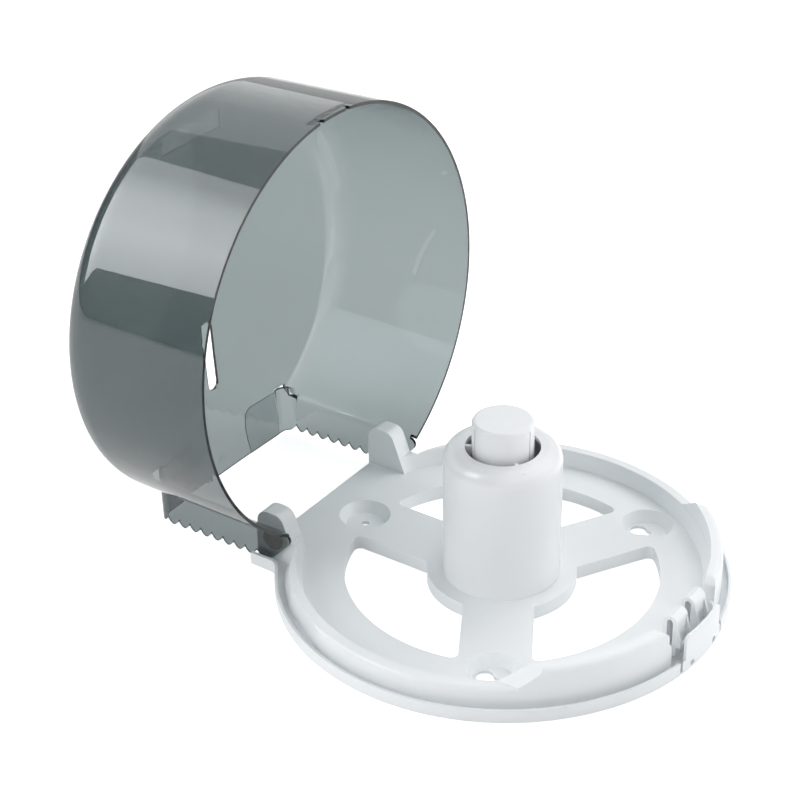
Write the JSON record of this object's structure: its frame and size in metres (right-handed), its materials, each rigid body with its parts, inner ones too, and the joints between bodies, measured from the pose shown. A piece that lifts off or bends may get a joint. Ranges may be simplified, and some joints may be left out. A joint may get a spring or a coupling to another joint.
{
  "type": "jumbo toilet paper dispenser",
  "caption": "Round wall-mounted toilet paper dispenser with a hinged clear cover, toothed tear edge, spring latch, post and core adapter.",
  "frame": {"origin": "middle of the back plate's disc, on the back face that lies against the wall", "axes": "+Z out of the wall, +Y toward the latch (up on the wall), -Y toward the hinge and the tear edge, X along the hinge"},
  "size_m": [0.27, 0.3568, 0.2722],
  "materials": {
    "white_plastic": "moulded, satin",
    "white_plastic_post": "moulded, glossy",
    "screw_steel": "zinc plated",
    "clear_smoke_plastic": "smooth smoke-tinted clear plastic",
    "dark_plastic": "smooth"
  },
  "bodies": {
    "plate": {"back_plate": "white_plastic", "plate_spider": "white_plastic", "spindle_post": "white_plastic_post", "post_screws": "screw_steel"},
    "cover": {"cover": "clear_smoke_plastic", "hinge_pins": "dark_plastic"},
    "adapter": {"core_adapter": "white_plastic_post"},
    "catch_left": {"latch_catch_left": "white_plastic"},
    "catch_right": {"latch_catch_right": "white_plastic"}
  },
  "joints": [
    {"name": "cover_hinge", "type": "hinge", "parent": "plate", "child": "cover", "pos_m": [0, -0.1211, 0.019], "axis": [1, 0, 0], "range_deg": [-91.35, 0]},
    {"name": "adapter_spin", "type": "hinge", "parent": "plate", "child": "adapter", "pos_m": [0, 0, 0.05], "axis": [0, 0, 1], "continuous": true},
    {"name": "catch_left_flex", "type": "hinge", "parent": "plate", "child": "catch_left", "pos_m": [0, 0.1211, 0.0272], "axis": [1, 0, 0], "range_deg": [-5, 0], "stiffness_Nm_per_rad": 0.8},
    {"name": "catch_right_flex", "type": "hinge", "parent": "plate", "child": "catch_right", "pos_m": [0, 0.1211, 0.0272], "axis": [1, 0, 0], "range_deg": [-5, 0], "stiffness_Nm_per_rad": 0.8}
  ]
}
